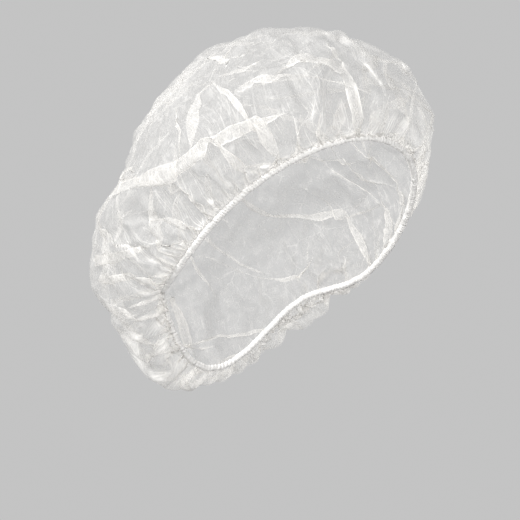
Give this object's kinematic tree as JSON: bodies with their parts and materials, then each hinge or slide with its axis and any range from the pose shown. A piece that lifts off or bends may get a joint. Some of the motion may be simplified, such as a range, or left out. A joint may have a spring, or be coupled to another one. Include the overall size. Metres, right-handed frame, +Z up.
{
  "type": "disposable hair cover cap",
  "caption": "Worn bouffant cap: a thin translucent nonwoven bag with folds and gathers, closed round the head by a rolled elastic hem, that keeps the wearer's hair in.",
  "frame": {"origin": "where the top of the head bears on the inside of the crown", "axes": "+Z up, -Y towards the wearer's face, +X towards the wearer's left"},
  "size_m": [0.1916, 0.2453, 0.2207],
  "materials": {
    "crown_nonwoven": "matte",
    "hem_elastic": "matte"
  },
  "bodies": {
    "root": {"crown": "crown_nonwoven", "elastic_hem": "hem_elastic"}
  },
  "joints": []
}
